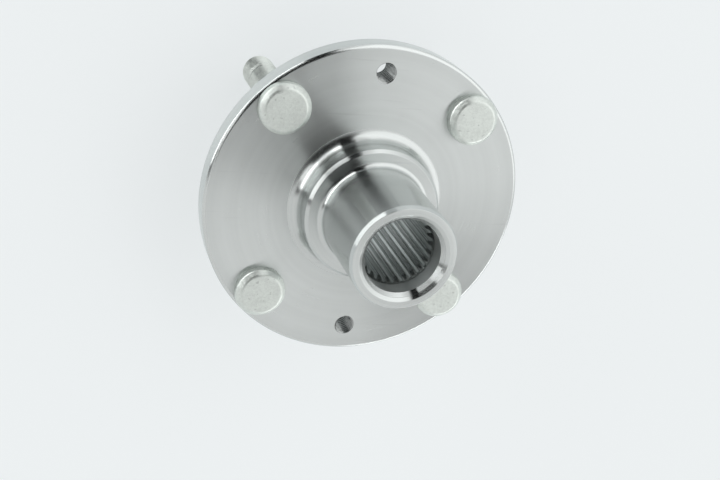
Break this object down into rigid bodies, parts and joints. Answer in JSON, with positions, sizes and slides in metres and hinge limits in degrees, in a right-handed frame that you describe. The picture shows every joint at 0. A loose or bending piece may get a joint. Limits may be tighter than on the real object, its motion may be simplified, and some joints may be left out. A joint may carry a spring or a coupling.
{
  "type": "wheel hub",
  "caption": "Front wheel hub: a turned round drive flange with pressed-in wheel studs, a shouldered bearing journal and a splined bore for the drive shaft.",
  "frame": {"origin": "centre of the wheel seating face of the flange, on the hub axis", "axes": "+Z along the hub axis, from the wheel side to the bearing end; +Y through the first disc screw hole"},
  "size_m": [0.12, 0.12, 0.0911],
  "materials": {
    "hub": "bare steel, fine turned",
    "stud": "matte zinc plating"
  },
  "bodies": {
    "root": {"hub_flange": "hub", "wheel_stud_1": "stud", "wheel_stud_2": "stud", "wheel_stud_3": "stud", "wheel_stud_4": "stud"}
  },
  "joints": []
}
